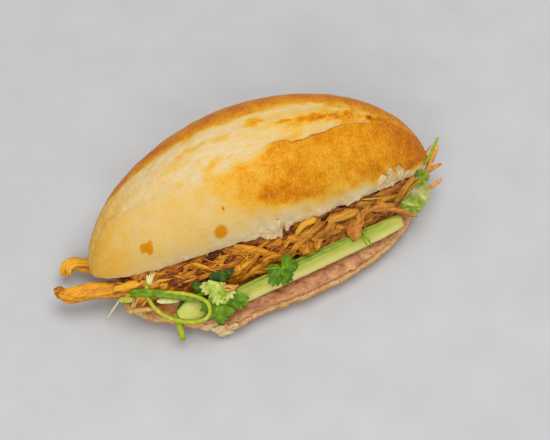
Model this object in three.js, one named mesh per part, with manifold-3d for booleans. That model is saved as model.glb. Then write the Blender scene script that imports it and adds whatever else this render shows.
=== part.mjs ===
// A filled banh mi: a puffy baguette roll slit along its front and still joined along its back,
// spread with pate and packed with cucumber, shredded chicken, pickle sticks and a lettuce leaf.
// Millimetres, +Z up. The roll's length lies along X and its open side faces -Y.
// The origin is on the level it rests on, under the middle of the whole sandwich.
import * as THREE from "three";
import Module from "manifold-3d";
import { mergeVertices } from "three/addons/utils/BufferGeometryUtils.js";

const wasm = await Module();
wasm.setup();

// ---- driving dimensions ----

const degrees = THREE.MathUtils.degToRad;

// The upper half of the roll
const CROWN = {
  low: -114, // left and right tips
  high: 125,
  width: 94,
  rise: 48, // from its widest level to the top of the crust
  belly: 18, // from the cut face to its widest level
  tilt: degrees(27), // tipped back about X, so the front is raised
  middleY: 14, // middle of the cut face
  middleZ: 32,
  arch: 10, // how much lower the cut face lies at the tips
  bend: 6, // and how much further forward
  climb: 0.035, // it rises a little towards the right
  fullness: [0.5, 0.52], // bluntness of the left and the right end
};

// The lower half of the roll
const HEEL = {
  low: -101,
  high: 110,
  width: 90,
  middleY: -11,
  turn: 0.02, // its long axis is turned a little against the crown's
  cutZ: 11.5,
  depth: 14.5, // depth of its crust before the underside is flattened
  fullness: [0.52, 0.52],
  flap: { x: -42, half: 18, reach: 7 }, // where its torn front edge sticks out furthest
};

// The uncut strip along the back
const HINGE = { low: -97, high: 106, thickness: 10, bulge: 4 };

// The baker's slash along the top of the crown, as angles round its cross-section
const SLASH = { angle: degrees(58), half: degrees(15), depth: 2, ear: 1.8 };

const PATE = { thickness: 4.5, inset: 2, backInset: 16 };
const GAP = 0.45; // between pieces that touch

// A long cucumber spear along the front, from its left foot to its right one
const SPEAR = { from: [-44, -53.5], to: [90, -38], height: 13, thickness: 7, lean: degrees(24) };

// The slanting end of another spear, with its flesh turned up to the front
const SPEAR_END = { x: -60, y: -41, z: 20.6, length: 23, width: 16, thickness: 6.5, lean: degrees(28) };

// The heap of shredded chicken between the cucumber and the hinge
const HEAP = { low: -101, high: 100, middleY: -9, reach: 24, backInset: 18, lipInset: 2, bulge: 3 };

// A curled lettuce leaf at the right end
const LEAF = { x: 107, y: -15, z: 22.5, length: 20, width: 24, thickness: 1.4, lean: degrees(24), curl: 5 };

// Pickled carrot and daikon sticks that poke out of the two ends
const PICKLES = [
  { name: "carrot_stick_1", from: [114, -9, 15], to: [132, 6, 38], width: 3.2 },
  { name: "carrot_stick_2", from: [112, -1, 14.5], to: [134, 1, 22], width: 3.4 },
  { name: "carrot_stick_3", from: [113, -14, 14.5], to: [130, -9, 18.5], width: 3 },
  { name: "daikon_stick", from: [-79, -33, 19.3], to: [-101, -26.5, 17.2], width: 3 },
];

const { clamp, lerp, smoothstep } = THREE.MathUtils;

// ---- shared shaping ----

// Distances along a piece from low to high, closer together towards both ends
function stations(count, low, high) {
  const half = (high - low) / 2;
  return Array.from({ length: count }, (_, i) => low + half - half * Math.cos((Math.PI * i) / (count - 1)));
}

// Share of the full width that a spindle has at x: 1 in its middle, 0 at both tips
function spindle(x, { low, high, fullness: [left, right] }) {
  const u = clamp((2 * x - low - high) / (high - low), -1, 1);
  return Math.pow(1 - u * u, u < 0 ? left : right);
}

// Small unevenness that repeats nowhere along the roll
function ripple(x, seed) {
  return (
    0.5 * Math.sin(x * 0.11 + seed * 1.7) +
    0.3 * Math.sin(x * 0.23 + seed * 2.9) +
    0.2 * Math.sin(x * 0.41 + seed)
  );
}

// Closed surface through rings of equally many points, capped at both ends
function loft(rings) {
  const count = rings[0].length;
  const points = rings.flat();
  const faces = [];
  for (let i = 0; i < rings.length - 1; i++) {
    for (let j = 0; j < count; j++) {
      const a = i * count + j;
      const b = i * count + ((j + 1) % count);
      faces.push(a, b, b + count, a, b + count, a + count);
    }
  }
  const cap = (ring, first, flipped) => {
    const middle = points.length;
    points.push(ring.reduce((sum, p) => sum.add(p), new THREE.Vector3()).divideScalar(count));
    for (let j = 0; j < count; j++) {
      const a = first + j;
      const b = first + ((j + 1) % count);
      faces.push(...(flipped ? [middle, b, a] : [middle, a, b]));
    }
  };
  cap(rings[0], 0, true);
  cap(rings.at(-1), (rings.length - 1) * count, false);
  return new THREE.BufferGeometry().setFromPoints(points).setIndex(faces);
}

// A closed surface as a solid whose faces point outwards
function toSolid(geometry) {
  const bare = new THREE.BufferGeometry()
    .setAttribute("position", geometry.getAttribute("position"))
    .setIndex(geometry.index);
  const merged = mergeVertices(bare, 1e-4);
  const triangles = new Uint32Array(merged.index.array);
  const corners = new Float32Array(merged.attributes.position.array);
  const asSolid = () =>
    new wasm.Manifold(new wasm.Mesh({ numProp: 3, vertProperties: corners, triVerts: triangles }));
  const solid = asSolid();
  if (solid.volume() > 0) return solid;
  triangles.reverse();
  return asSolid();
}

function toGeometry(solid) {
  const mesh = solid.getMesh();
  return new THREE.BufferGeometry()
    .setAttribute("position", new THREE.BufferAttribute(new Float32Array(mesh.vertProperties), 3))
    .setIndex(new THREE.BufferAttribute(new Uint32Array(mesh.triVerts), 1));
}

const loftedSolid = (rings) => toSolid(loft(rings));

// ---- where the roll's two cut faces lie, in the plane across the roll (y, z) ----

const towardsFront = new THREE.Vector2(-Math.cos(CROWN.tilt), Math.sin(CROWN.tilt));
const outOfCut = new THREE.Vector2(Math.sin(CROWN.tilt), Math.cos(CROWN.tilt));

function crownMiddle(x) {
  const u = (2 * x - CROWN.low - CROWN.high) / (CROWN.high - CROWN.low);
  return new THREE.Vector2(
    CROWN.middleY - CROWN.bend * u * u,
    CROWN.middleZ + CROWN.climb * x - CROWN.arch * u * u,
  );
}

// The crown's cross-section at x: a point at an angle round it, raised by some relief
function crownPoint(x, angle, relief = 0) {
  const share = spindle(x, CROWN);
  const across = ((CROWN.width / 2) * share + relief) * Math.cos(angle);
  const up = CROWN.belly * share + (CROWN.rise * share + relief) * Math.sin(angle);
  const point = crownMiddle(x).addScaledVector(towardsFront, across).addScaledVector(outOfCut, up);
  return new THREE.Vector3(x, point.x, point.y);
}

const LIP_ANGLE = -Math.asin(CROWN.belly / CROWN.rise); // where the crust meets the cut face

// Height of the crown's cut face at x and y
function crownCutZ(x, y) {
  const middle = crownMiddle(x);
  return middle.y + (middle.x - y) * Math.tan(CROWN.tilt);
}

const heelMiddleY = (x) => HEEL.middleY + HEEL.turn * x;
const heelFlap = (x) => HEEL.flap.reach * Math.exp(-Math.pow((x - HEEL.flap.x) / HEEL.flap.half, 2));
const heelBackY = (x) => heelMiddleY(x) + (HEEL.width / 2) * spindle(x, HEEL);

// ---- bread ----

function slashRelief(x, angle) {
  const along = smoothstep(x - CROWN.low, 12, 34) * smoothstep(CROWN.high - x, 20, 44);
  const across = (angle - SLASH.angle) / SLASH.half;
  const groove = -SLASH.depth * Math.exp(-Math.pow(across, 4));
  const ear = SLASH.ear * Math.exp(-Math.pow((across + 1.2) / 0.3, 2));
  return along * (groove + ear);
}

// The crown's outline at x, made larger all round by some margin
function crownRing(x, margin, domePoints = 30, cutPoints = 5) {
  const ring = Array.from({ length: domePoints }, (_, i) => {
    const angle = lerp(LIP_ANGLE, Math.PI - LIP_ANGLE, i / (domePoints - 1));
    return crownPoint(x, angle, slashRelief(x, angle) + margin);
  });
  const back = ring.at(-1).clone();
  const front = ring[0].clone();
  for (let i = 1; i <= cutPoints; i++) {
    const point = back.clone().lerp(front, i / (cutPoints + 1));
    point.y -= outOfCut.x * margin;
    point.z -= outOfCut.y * margin;
    ring.push(point);
  }
  return ring;
}

function heelRing(x, crustPoints = 18) {
  const share = spindle(x, HEEL);
  return Array.from({ length: crustPoints }, (_, i) => {
    const angle = (Math.PI * i) / (crustPoints - 1);
    const flap = heelFlap(x) * smoothstep(-Math.cos(angle), 0.2, 1);
    const y = heelMiddleY(x) + (HEEL.width / 2) * share * Math.cos(angle) - flap;
    const depth = HEEL.depth * Math.sqrt(share) * Math.pow(Math.sin(angle), 0.6);
    return new THREE.Vector3(x, y, Math.max(HEEL.cutZ - depth, 0));
  });
}

// The strip of crust and crumb that runs from the heel's back up into the crown's
function hingeRing(x, margin, sidePoints = 7) {
  const lower = new THREE.Vector2(heelBackY(x) - 6, HEEL.cutZ * 0.55);
  const crownBack = crownPoint(x, Math.PI - LIP_ANGLE);
  const upper = new THREE.Vector2(crownBack.y, crownBack.z)
    .addScaledVector(towardsFront, 6)
    .addScaledVector(outOfCut, 5);
  const along = upper.clone().sub(lower);
  const outwards = new THREE.Vector2(along.y, -along.x).normalize();
  const u = clamp((2 * x - HINGE.low - HINGE.high) / (HINGE.high - HINGE.low), -1, 1);
  const half = (HINGE.thickness / 2) * Math.sqrt(1.04 - Math.pow(u, 6)) + margin;
  const side = (offset) =>
    Array.from({ length: sidePoints }, (_, i) => {
      const s = i / (sidePoints - 1);
      const bulge = HINGE.bulge * (1 - u * u) * Math.sin(Math.PI * s) + offset;
      const p = lower.clone().addScaledVector(along, s).addScaledVector(outwards, bulge);
      return new THREE.Vector3(x, p.x, Math.max(p.y, 0));
    });
  return [...side(half), ...side(-half).reverse()];
}

// The crown with the strip behind it, made larger all round by some margin
function crownAndHinge(margin) {
  const tip = 0.5 - margin;
  const crown = stations(34, CROWN.low + tip, CROWN.high - tip).map((x) => crownRing(x, margin));
  const hinge = stations(14, HINGE.low - margin, HINGE.high + margin).map((x) => hingeRing(x, margin));
  return loftedSolid(crown).add(loftedSolid(hinge));
}

function breadRoll() {
  const heel = stations(38, HEEL.low + 0.5, HEEL.high - 0.5).map((x) => heelRing(x));
  return crownAndHinge(0).add(loftedSolid(heel));
}

// ---- fillings ----

const pateTopZ = HEEL.cutZ + GAP + PATE.thickness;

function pateRing(x, topPoints = 9) {
  const share = spindle(x, { ...HEEL, low: HEEL.low + 4, high: HEEL.high - 3 });
  const front = heelMiddleY(x) - (HEEL.width / 2 - PATE.inset + ripple(x, 1)) * share - heelFlap(x);
  const back = heelMiddleY(x) + (HEEL.width / 2 - PATE.backInset) * share;
  const low = HEEL.cutZ + GAP;
  const top = Array.from({ length: topPoints }, (_, i) => {
    const s = i / (topPoints - 1);
    const edge = Math.pow(Math.sin(Math.PI * clamp(s, 0.03, 0.97)), 0.25);
    return new THREE.Vector3(x, lerp(back, front, s), low + PATE.thickness * edge);
  });
  return [new THREE.Vector3(x, front, low), new THREE.Vector3(x, back, low), ...top];
}

// Outline of a cucumber piece across its length: flat-sided with round edges
function roundedOutline(width, thickness, count = 14) {
  const rounded = (v) => Math.sign(v) * Math.sqrt(Math.abs(v));
  return Array.from({ length: count }, (_, j) => {
    const angle = (2 * Math.PI * j) / count;
    const across = (width / 2) * rounded(Math.cos(angle));
    return new THREE.Vector2(across, (thickness / 2) * rounded(Math.sin(angle)));
  });
}

// A slice along X, centred, its width along Z, rounded off at both ends
function cucumberSlice(length, width, thickness, endFullness) {
  const shape = { low: -length / 2 - 0.5, high: length / 2 + 0.5, fullness: [endFullness, endFullness] };
  const outline = roundedOutline(width, thickness);
  return loft(
    stations(18, -length / 2, length / 2).map((x) =>
      outline.map((p) => new THREE.Vector3(x, p.y * Math.sqrt(spindle(x, shape)), p.x * spindle(x, shape))),
    ),
  );
}

// The long spear stands on the pate and leans back against the chicken
function cucumberLong(margin) {
  const { from, to, lean } = SPEAR;
  const height = SPEAR.height + 2 * margin;
  const thickness = SPEAR.thickness + 2 * margin;
  const foot = new THREE.Vector2(...from);
  const run = new THREE.Vector2(...to).sub(foot);
  const lowest = (height / 2) * Math.cos(lean) + (thickness / 2) * Math.sin(lean) - margin;
  const spear = cucumberSlice(run.length(), height, thickness, 0.14);
  spear.rotateX(-lean);
  spear.translate(0, SPEAR.thickness / 2 + (SPEAR.height / 2) * Math.sin(lean), pateTopZ + GAP + lowest);
  spear.rotateZ(run.angle());
  const middle = foot.addScaledVector(run, 0.5);
  spear.translate(middle.x, middle.y, 0);
  return toSolid(spear);
}

function cucumberShort() {
  const { x, y, z, length, width, thickness, lean } = SPEAR_END;
  const piece = cucumberSlice(length, width, thickness, 0.5);
  piece.rotateX(-Math.PI / 2 + lean);
  piece.rotateZ(degrees(8));
  piece.translate(x, y, z);
  return toSolid(piece);
}

function heapRing(x, facePoints = 7, topPoints = 6) {
  const share = spindle(x, { low: HEAP.low - 2, high: HEAP.high + 2, fullness: [0.4, 0.4] });
  const low = pateTopZ + GAP;
  const foot = HEAP.middleY - HEAP.reach * share;
  const wedgeTip = CROWN.middleY + (crownMiddle(x).y - low - 3) / Math.tan(CROWN.tilt);
  const back = Math.min(heelMiddleY(x) + (HEEL.width / 2 - HEAP.backInset) * share, wedgeTip);
  const lip = crownPoint(x, LIP_ANGLE);
  const topFront = Math.min(lip.y + HEAP.lipInset, back - 2);
  const topAt = (y) => Math.max(crownCutZ(x, y) - GAP / Math.cos(CROWN.tilt), low + 1);
  const face = Array.from({ length: facePoints }, (_, i) => {
    const s = (i + 1) / (facePoints + 1);
    const bulge = (HEAP.bulge + 1.5 * ripple(x * 2, i)) * Math.sin(Math.PI * s);
    return new THREE.Vector3(x, lerp(foot, topFront, s) - bulge * share, lerp(low, topAt(topFront), s));
  });
  const top = Array.from({ length: topPoints }, (_, i) => {
    const y = lerp(topFront, back, i / (topPoints - 1));
    return new THREE.Vector3(x, y, topAt(y));
  });
  return [
    new THREE.Vector3(x, (foot + back) / 2, low),
    new THREE.Vector3(x, foot, low),
    ...face,
    ...top,
    new THREE.Vector3(x, back, low),
  ];
}

// A long strip of chicken through the given places, thinning towards both ends
function chickenStrip(places, width, thickness) {
  const curve = new THREE.CatmullRomCurve3(places);
  const rings = Array.from({ length: 14 }, (_, i) => {
    const s = i / 13;
    const centre = curve.getPoint(s);
    const along = curve.getTangent(s);
    const side = new THREE.Vector3(-along.y, along.x, 0).normalize();
    const up = along.clone().cross(side);
    const size = 0.35 + 0.65 * Math.sqrt(Math.sin(Math.PI * (0.06 + 0.88 * s)));
    return Array.from({ length: 10 }, (_, j) => {
      const angle = (2 * Math.PI * j) / 10;
      const uneven = 1 + 0.12 * ripple(40 * s + 9 * j, 3);
      return centre
        .clone()
        .addScaledVector(side, (width / 2) * size * uneven * Math.cos(angle))
        .addScaledVector(up, (thickness / 2) * size * Math.sin(angle));
    });
  });
  return loftedSolid(rings);
}

const at = (x, y, z) => new THREE.Vector3(x, y, z);
const STRIP_UPPER = [at(-131, 19, 8), at(-122, 23, 11), at(-111, 19, 9.3), at(-101, 9, 14), at(-92, 0, 20)];
const STRIP_LOWER = [at(-138, 2, 17), at(-127, -2, 18.5), at(-112, -5, 20), at(-92, -11, 20.5)];

function chickenHeap() {
  const heap = loftedSolid(stations(34, HEAP.low, HEAP.high).map((x) => heapRing(x)));
  const strips = chickenStrip(STRIP_UPPER, 12, 7).add(chickenStrip(STRIP_LOWER, 13, 8));
  const sticks = PICKLES.map((pickle) => stick(pickle, GAP));
  const neighbours = [crownAndHinge(GAP), cucumberLong(GAP), lettuceLeaf(GAP), ...sticks];
  const pieces = neighbours.reduce((rest, piece) => rest.subtract(piece), heap.add(strips)).decompose();
  return pieces.sort((a, b) => b.volume() - a.volume())[0];
}

// A leaf whose outer edge curls up, as a thin curved plate
function lettuceLeaf(margin) {
  const { x, y, z, lean, curl } = LEAF;
  const length = LEAF.length + 2 * margin;
  const width = LEAF.width + 2 * margin;
  const surface = (u, v) => {
    const roll = curl * Math.pow(Math.abs(u), 3) + 1.2 * Math.sin(5 * v + 2 * u);
    return new THREE.Vector3((length / 2) * u * (1 - 0.18 * v * v), (width / 2) * v, roll);
  };
  const rings = stations(14, -1, 1).map((u) => {
    const line = Array.from({ length: 11 }, (_, i) => surface(u, i / 5 - 1));
    const over = line.map((p) => p.clone().setZ(p.z + margin));
    const under = line.map((p) => p.clone().setZ(p.z - LEAF.thickness - margin)).reverse();
    return [...over, ...under];
  });
  const leaf = loft(rings);
  leaf.rotateX(lean);
  leaf.rotateZ(degrees(-24));
  leaf.translate(x, y, z);
  return toSolid(leaf);
}

// A julienne stick, slightly bowed and rounded along its edges
function stick({ from, to, width }, margin) {
  const start = new THREE.Vector3(...from);
  const end = new THREE.Vector3(...to);
  const bow = start.clone().lerp(end, 0.5).add(new THREE.Vector3(0, 0, 1.6));
  const curve = new THREE.QuadraticBezierCurve3(start, bow, end);
  const side = end.clone().sub(start).cross(new THREE.Vector3(0, 0, 1)).normalize();
  const rings = Array.from({ length: 7 }, (_, i) => {
    const s = i / 6;
    const up = side.clone().cross(curve.getTangent(s)).normalize();
    const half = (width / 2) * (1 - 0.35 * Math.pow(2 * s - 1, 4)) + margin;
    return roundedOutline(2, 2, 12).map((p) =>
      curve.getPoint(s).addScaledVector(side, p.x * half).addScaledVector(up, p.y * half),
    );
  });
  return loftedSolid(rings);
}

// ---- assembly ----

const crust = new THREE.MeshStandardMaterial({ color: 0xd9a048, roughness: 0.6 });
const pate = new THREE.MeshStandardMaterial({ color: 0xb98a72, roughness: 0.7 });
const cucumber = new THREE.MeshStandardMaterial({ color: 0xb9c66a, roughness: 0.35 });
const chicken = new THREE.MeshStandardMaterial({ color: 0xc07a35, roughness: 0.5 });
const carrot = new THREE.MeshStandardMaterial({ color: 0xe59a4a, roughness: 0.4 });
const lettuce = new THREE.MeshStandardMaterial({ color: 0xa9c878, roughness: 0.4 });

const sandwich = new THREE.Group();

function addPiece(name, solid, material) {
  const mesh = new THREE.Mesh(toGeometry(solid), material);
  mesh.name = name;
  sandwich.add(mesh);
}

addPiece("bread_roll", breadRoll(), crust);
addPiece("pate_spread", loftedSolid(stations(38, HEEL.low + 5, HEEL.high - 4).map((x) => pateRing(x))), pate);
addPiece("cucumber_long", cucumberLong(0), cucumber);
addPiece("cucumber_short", cucumberShort(), cucumber);
addPiece("shredded_chicken", chickenHeap(), chicken);
addPiece("lettuce_leaf", lettuceLeaf(0), lettuce);
for (const pickle of PICKLES) addPiece(pickle.name, stick(pickle, 0), carrot);

// Stand the sandwich over the origin: its lowest level at zero, the middle of its box on the Z axis
const box = new THREE.Box3().setFromObject(sandwich);
const middle = box.getCenter(new THREE.Vector3());
sandwich.position.set(-middle.x, -middle.y, -box.min.z);

export default sandwich;
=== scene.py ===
import math
import random

import bmesh
import bpy
from mathutils import Matrix, Vector, noise
from mathutils.bvhtree import BVHTree


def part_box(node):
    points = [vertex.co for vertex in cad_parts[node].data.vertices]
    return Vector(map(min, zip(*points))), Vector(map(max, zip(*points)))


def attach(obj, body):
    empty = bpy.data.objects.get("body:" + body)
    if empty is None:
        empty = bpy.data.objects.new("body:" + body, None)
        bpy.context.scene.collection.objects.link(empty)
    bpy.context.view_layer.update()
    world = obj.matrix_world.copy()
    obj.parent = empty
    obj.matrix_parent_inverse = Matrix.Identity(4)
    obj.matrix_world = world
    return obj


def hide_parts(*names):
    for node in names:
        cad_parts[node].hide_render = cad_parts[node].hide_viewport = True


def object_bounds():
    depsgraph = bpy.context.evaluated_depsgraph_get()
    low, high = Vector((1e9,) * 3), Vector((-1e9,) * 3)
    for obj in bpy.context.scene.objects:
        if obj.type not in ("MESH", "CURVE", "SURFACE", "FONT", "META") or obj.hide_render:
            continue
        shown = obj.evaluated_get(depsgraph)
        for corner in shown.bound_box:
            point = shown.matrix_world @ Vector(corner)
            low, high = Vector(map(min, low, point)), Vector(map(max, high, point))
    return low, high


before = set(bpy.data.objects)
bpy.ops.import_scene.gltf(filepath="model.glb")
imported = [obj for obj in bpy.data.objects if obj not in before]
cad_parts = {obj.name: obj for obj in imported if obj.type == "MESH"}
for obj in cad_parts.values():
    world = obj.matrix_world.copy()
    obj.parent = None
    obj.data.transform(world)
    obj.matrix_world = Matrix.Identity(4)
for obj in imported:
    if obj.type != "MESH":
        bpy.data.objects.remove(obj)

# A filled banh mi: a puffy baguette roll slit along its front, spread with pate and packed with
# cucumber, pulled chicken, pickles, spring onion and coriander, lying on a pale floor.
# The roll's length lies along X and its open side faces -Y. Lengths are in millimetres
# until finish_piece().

MM = 0.001
solid_low, solid_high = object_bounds()
scene = bpy.context.scene


# ---- camera and light ----

AIM = Vector((11.2, -13.3, -10.0))  # from the middle of the sandwich
VIEW_AZIMUTH = math.radians(-21.5)
VIEW_ELEVATION = math.radians(58.5)
VIEW_DISTANCE = 845.0
LENS = 85.1

KEY_POWER = 10.4
FILL_POWER = 8.0
SKY_STRENGTH = 0.52


def linear(tint, strength=1.0):
    """A hex sRGB colour as linear red, green, blue and an alpha of 1."""
    shares = [int(tint[i : i + 2], 16) / 255 for i in (0, 2, 4)]
    curve = [s / 12.92 if s <= 0.04045 else ((s + 0.055) / 1.055) ** 2.4 for s in shares]
    return [strength * s for s in curve] + [1.0]


def facing(direction):
    """The turn that points an object's own +Z along a direction."""
    return direction.to_track_quat("Z", "Y").to_matrix().to_4x4()


middle = (solid_low + solid_high) / 2
aim = middle + AIM * MM
towards_camera = Vector((
    math.cos(VIEW_ELEVATION) * math.sin(VIEW_AZIMUTH),
    -math.cos(VIEW_ELEVATION) * math.cos(VIEW_AZIMUTH),
    math.sin(VIEW_ELEVATION),
))
camera = bpy.data.objects.new("camera", bpy.data.cameras.new("camera"))
camera.data.lens = LENS
camera.data.sensor_width = 36.0
camera.data.clip_start = 0.01
camera.matrix_world = Matrix.Translation(aim + towards_camera * VIEW_DISTANCE * MM) @ facing(towards_camera)
scene.collection.objects.link(camera)
scene.camera = camera
scene.view_settings.view_transform = "Standard"


def softbox(name, place, size, power):
    """A square area light, in metres, that shines at the sandwich."""
    light = bpy.data.objects.new(name, bpy.data.lights.new(name, "AREA"))
    light.data.shape = "SQUARE"
    light.data.size = size
    light.data.energy = power
    light.matrix_world = Matrix.Translation(Vector(place)) @ facing(Vector(place))
    scene.collection.objects.link(light)


softbox("key_softbox", (0.2, 0.05, 1.3), 1.0, KEY_POWER)
softbox("fill_softbox", (-0.6, -1.0, 0.95), 0.9, FILL_POWER)

sky = bpy.data.worlds.new("studio")
scene.world = sky
sky.use_nodes = True
sky.node_tree.nodes["Background"].inputs["Color"].default_value = linear("f4f6f8")
sky.node_tree.nodes["Background"].inputs["Strength"].default_value = SKY_STRENGTH


# ---- material making ----


def add(tree, kind, output, inputs=(), stops=(), **settings):
    """Adds a node, sets it, fills its sockets with values or links, colours its stops if it has any,
    and gives back one of its outputs. Inputs are named or numbered, or a list of the first ones."""
    made = tree.nodes.new("ShaderNode" + kind)
    for name, value in settings.items():
        setattr(made, name, value)
    for socket, value in inputs.items() if isinstance(inputs, dict) else enumerate(inputs):
        if isinstance(value, bpy.types.NodeSocket):
            tree.links.new(value, made.inputs[socket])
        else:
            made.inputs[socket].default_value = value
    for i, (share, tint) in enumerate(stops):
        step = made.color_ramp.elements[i] if i < 2 else made.color_ramp.elements.new(share)
        step.position = share
        step.color = linear(tint)
    return made.outputs[output]


def new_material(name, roughness, **settings):
    """A material with its node tree and its shader, which gets the given constant settings."""
    material = bpy.data.materials.new(name)
    material.use_nodes = True
    tree = material.node_tree
    shader = tree.nodes["Principled BSDF"]
    shader.inputs["Roughness"].default_value = roughness
    for socket, value in settings.items():
        shader.inputs[socket.replace("_", " ")].default_value = value
    return material, tree, shader


# A colour mixing node's sockets, by number because they share their names with its other kinds
SHARE, BASE, OVER, MIXED = 0, 6, 7, 2


def per_mm(size):
    """Pattern scale that repeats about once in so many millimetres."""
    return 1.0 / (size * MM)


def grain(tree, size, detail=3.0, stretch=(1, 1, 1), rough=0.55):
    """Uneven pattern from 0 to 1 with features of about this size in millimetres."""
    where = add(tree, "TexCoord", "Object")
    placed = add(tree, "Mapping", "Vector", {"Vector": where, "Scale": stretch})
    return add(tree, "TexNoise", "Fac", {
        "Vector": placed, "Scale": per_mm(size), "Detail": detail, "Roughness": rough,
    })


# What the bread's shape tells its material, point by point
CRUST_LOOKS = ("bake", "crumb", "torn", "stain")


def crust_and_crumb():
    """Baked wheat crust over torn crumb: matt and pale where it was shaded or torn, with a soft sheen
    where it browned, and pinhead blisters of lighter skin on the brown parts."""
    material, tree, shader = new_material("baked_crust_and_crumb", 0.5, Specular_IOR_Level=0.05)
    bake, crumb, torn, stain = (add(tree, "Attribute", "Fac", attribute_name=look) for look in CRUST_LOOKS)

    # how brown the skin is: its baking, with soft mottling, fine speckle and streaks where it tore open
    browned = add(tree, "MapRange", "Result", [bake, 0.25, 0.55, 0.45, 1.0])
    mottle = add(tree, "MapRange", "Result", [grain(tree, 8.0, 6.0, rough=0.62), 0.3, 0.7, -0.09, 0.09])
    mottle = add(tree, "Math", "Value", [mottle, browned], operation="MULTIPLY")
    speckle = add(tree, "MapRange", "Result", [grain(tree, 1.3), 0.3, 0.7, -0.07, 0.07])
    streaks = grain(tree, 2.6, 4.0, (0.16, 1, 1), 0.6)
    streaks = add(tree, "MapRange", "Result", [streaks, 0.32, 0.72, -0.08, 0.15])
    streaked = add(tree, "Math", "Value", [torn, streaks], operation="MULTIPLY")
    baked = add(tree, "Math", "Value", [bake, mottle], operation="ADD")
    baked = add(tree, "Math", "Value", [baked, speckle], operation="ADD")
    baked = add(tree, "Math", "Value", [baked, streaked], operation="ADD")
    skin = add(tree, "ValToRGB", "Color", [baked], [
        (0.0, "dfcca4"), (0.92, "ac5a16"), (0.18, "d8bc88"), (0.36, "dab364"), (0.5, "dfa83a"),
        (0.64, "d68d10"), (0.8, "c46e04"), (1.0, "7e3d10"),
    ])

    # blisters are lighter, and a little longer than wide
    where = add(tree, "TexCoord", "Object")
    where = add(tree, "Mapping", "Vector", {"Vector": where, "Scale": (1, 0.45, 0.45)})
    cells = add(tree, "TexVoronoi", "Distance", {"Vector": where, "Scale": per_mm(1.4)})
    blister = add(tree, "MapRange", "Result", [cells, 0.1, 0.42, 1.0, 0.0])
    on_brown = add(tree, "MapRange", "Result", [bake, 0.42, 0.6, 0.0, 1.0])
    in_patches = add(tree, "MapRange", "Result", [grain(tree, 4.0), 0.32, 0.56, 0.0, 0.6])
    blister = add(tree, "Math", "Value", [blister, on_brown], operation="MULTIPLY")
    blister = add(tree, "Math", "Value", [blister, in_patches], operation="MULTIPLY")
    skin = add(tree, "Mix", MIXED, {SHARE: blister, BASE: skin, OVER: linear("efb95a")}, data_type="RGBA")

    inside = add(tree, "ValToRGB", "Color", [grain(tree, 1.6, 4.0)], [
        (0.3, "a97c46"), (0.62, "e6cd9c"), (0.45, "d2b07a"),
    ])
    colour = add(tree, "Mix", MIXED, {SHARE: crumb, BASE: skin, OVER: inside}, data_type="RGBA")
    colour = add(tree, "Mix", MIXED, {SHARE: stain, BASE: colour, OVER: linear("cf8404")}, data_type="RGBA")
    tree.links.new(colour, shader.inputs["Base Color"])

    smooth = add(tree, "Math", "Value", [bake, crumb], operation="SUBTRACT")
    smooth = add(tree, "MapRange", "Result", [smooth, 0.1, 0.7, 0.72, 0.42])
    tree.links.new(smooth, shader.inputs["Roughness"])

    relief = add(tree, "Math", "Value", [grain(tree, 0.9), 0.6], operation="MULTIPLY")
    relief = add(tree, "Math", "Value", [relief, grain(tree, 3.2, 4.0)], operation="ADD")
    relief = add(tree, "Math", "Value", [blister, 0.6, relief], operation="MULTIPLY_ADD")
    relief = add(tree, "Math", "Value", [streaked, 1.2, relief], operation="MULTIPLY_ADD")
    relief = add(tree, "Bump", "Normal", {"Height": relief, "Distance": 0.8 * MM, "Strength": 0.55})
    tree.links.new(relief, shader.inputs["Normal"])
    return material


# ---- piece making ----


def smooth_step(value, low, high):
    share = min(max((value - low) / (high - low), 0.0), 1.0)
    return share * share * (3 - 2 * share)


def mix(a, b, share):
    return a + (b - a) * share


def between(places, x):
    """Value at x on a smooth line through (x, value) places."""
    if x <= places[0][0]:
        return places[0][1]
    for (x0, a), (x1, b) in zip(places, places[1:]):
        if x <= x1:
            return mix(a, b, smooth_step(x, x0, x1))
    return places[-1][1]


def lumps(point, size, octaves=3, seed=0.0):
    """Uneven value from about -1 to 1, with features of about this size in millimetres."""
    return noise.fractal(point / size + Vector((seed, 0, 0)), 1.0, 2.0, octaves)


UP_FRONT = Vector((-0.19, -0.49, 0.85))  # out of the open side, halfway between front and up

# Shapes are made in the roll's own millimetres, whose origin lies under the middle of the bread,
# and finish_piece puts them into the frame. The long cucumber's low corner fixes where that origin is.
CUCUMBER_LOW = Vector((-45.08, -50.90, 17.69))
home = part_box("cucumber_long")[0] / MM - CUCUMBER_LOW
INTO_FRAME = Matrix.Translation(home * MM) @ Matrix.Diagonal((MM, MM, MM, 1.0))


def merged_copy(node):
    """A CAD node's shape in the roll's own millimetres, with its corners joined."""
    shape = bmesh.new()
    shape.from_mesh(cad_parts[node].data)
    bmesh.ops.transform(shape, matrix=INTO_FRAME.inverted(), verts=shape.verts)
    bmesh.ops.remove_doubles(shape, verts=shape.verts, dist=0.001)
    return shape


def even_skin(node, voxel):
    """A CAD node's body with an even skin of small faces, voxel millimetres wide."""
    shape = merged_copy(node)
    mesh = bpy.data.meshes.new("skin")
    shape.to_mesh(mesh)
    shape.free()
    rough = bpy.data.objects.new("skin", mesh)
    scene.collection.objects.link(rough)
    modifier = rough.modifiers.new("Skin", "REMESH")
    modifier.mode = "VOXEL"
    modifier.voxel_size = voxel
    evaluated = rough.evaluated_get(bpy.context.evaluated_depsgraph_get())
    even = bmesh.new()
    even.from_mesh(evaluated.to_mesh())
    evaluated.to_mesh_clear()
    bpy.data.objects.remove(rough)
    bpy.data.meshes.remove(mesh)
    return even


def relax(shape, rounds):
    """Smooths a shape, a little more with each round."""
    for _ in range(rounds):
        bmesh.ops.smooth_vert(
            shape, verts=shape.verts, factor=0.5, use_axis_x=True, use_axis_y=True, use_axis_z=True
        )


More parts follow.
